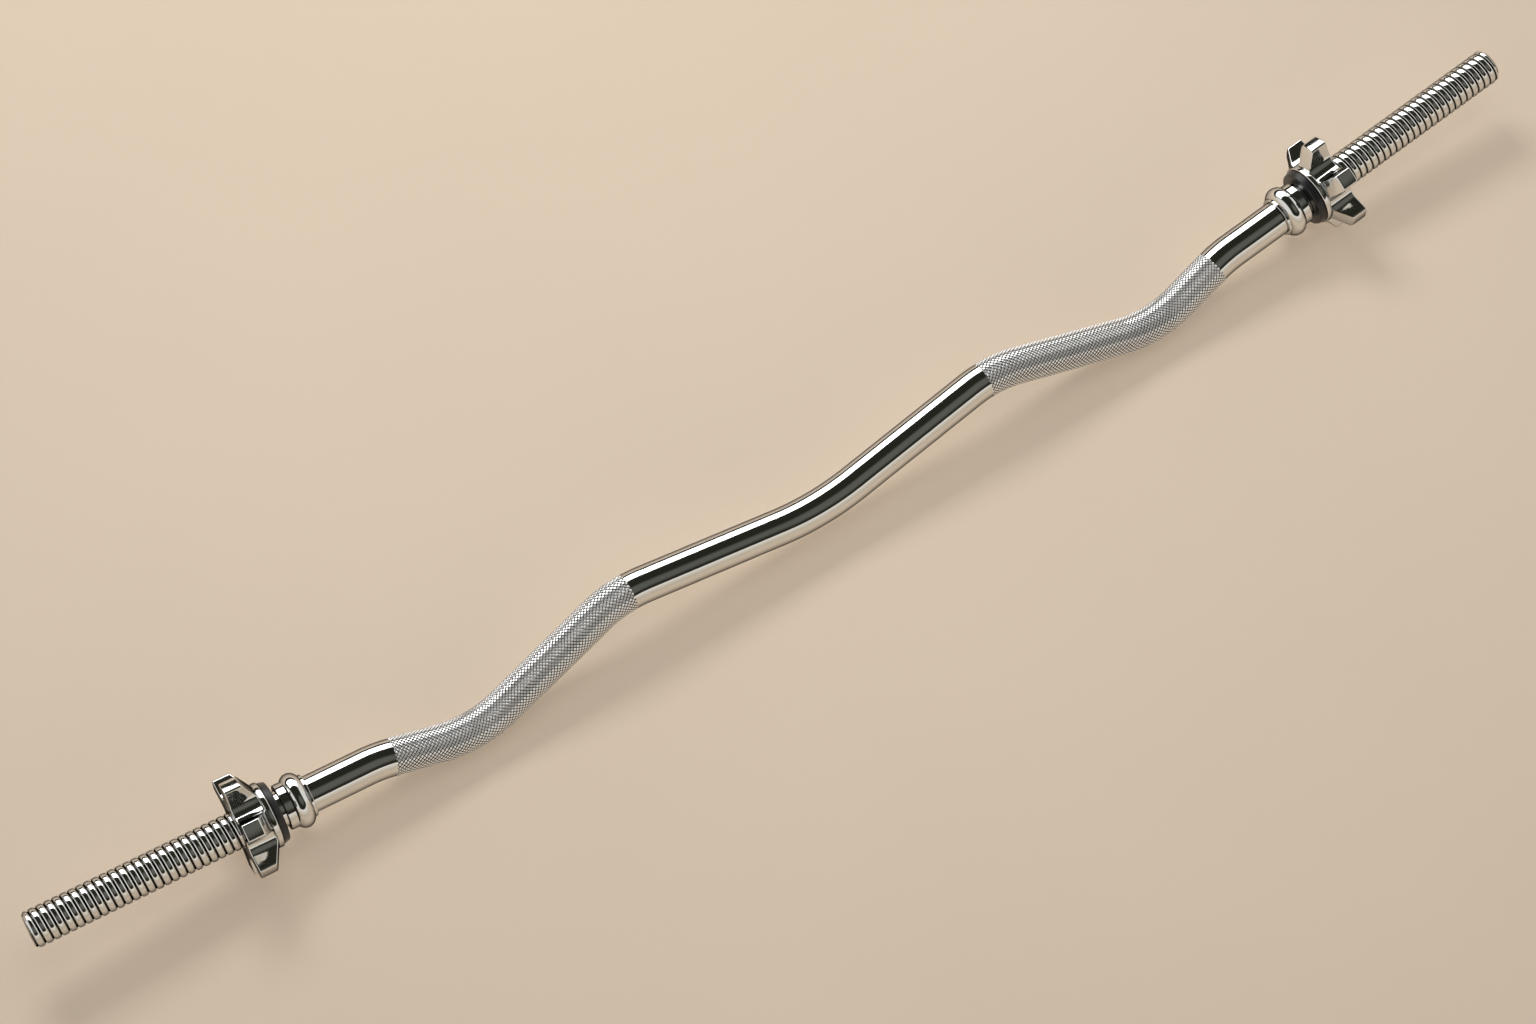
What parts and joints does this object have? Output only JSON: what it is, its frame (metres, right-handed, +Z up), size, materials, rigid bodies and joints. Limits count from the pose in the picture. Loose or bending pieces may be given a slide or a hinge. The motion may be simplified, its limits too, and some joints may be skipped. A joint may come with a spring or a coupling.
{
  "type": "ez curl bar",
  "caption": "Zigzag barbell of chromed steel with knurled grips, threaded sleeves, inner collars and spin-lock star nuts backed by rubber rings.",
  "frame": {"origin": "middle of the bar's underside, on the floor that it lies on", "axes": "+X along the bar to its right end, +Y from the dips towards the peaks, +Z up"},
  "size_m": [1.187, 0.0736, 0.0684],
  "materials": {
    "chromed_steel": "polished",
    "pin_steel": "ground",
    "rubber": "satin"
  },
  "bodies": {
    "bar": {"bar": "chromed_steel", "right_inner_collar": "chromed_steel", "right_collar_pin": "pin_steel", "left_inner_collar": "chromed_steel", "left_collar_pin": "pin_steel"},
    "right_ring": {"right_rubber_ring": "rubber"},
    "right_nut": {"right_star_nut": "chromed_steel"},
    "left_ring": {"left_rubber_ring": "rubber"},
    "left_nut": {"left_star_nut": "chromed_steel"}
  },
  "joints": [
    {"name": "right_ring_slide", "type": "slide", "parent": "bar", "child": "right_ring", "axis": [0.9951, 0.0602, 0.079], "range_m": [-0.00306, 0.1485]},
    {"name": "right_nut_turn", "type": "hinge", "parent": "right_ring", "child": "right_nut", "pos_m": [0.4357, -0.00033, 0.03379], "axis": [0.9951, 0.0602, 0.079], "range_deg": [-200, 9720]},
    {"name": "left_ring_slide", "type": "slide", "parent": "bar", "child": "left_ring", "axis": [-0.9951, 0.0602, 0.079], "range_m": [-0.00306, 0.1485]},
    {"name": "left_nut_turn", "type": "hinge", "parent": "left_ring", "child": "left_nut", "pos_m": [-0.4357, -0.00033, 0.03379], "axis": [-0.9951, 0.0602, 0.079], "range_deg": [-200, 9720]}
  ],
  "couplings": [
    {"joint": "right_ring_slide", "follows": "right_nut_turn", "m_per_rad": 0.00087535},
    {"joint": "left_ring_slide", "follows": "left_nut_turn", "m_per_rad": 0.00087535}
  ]
}
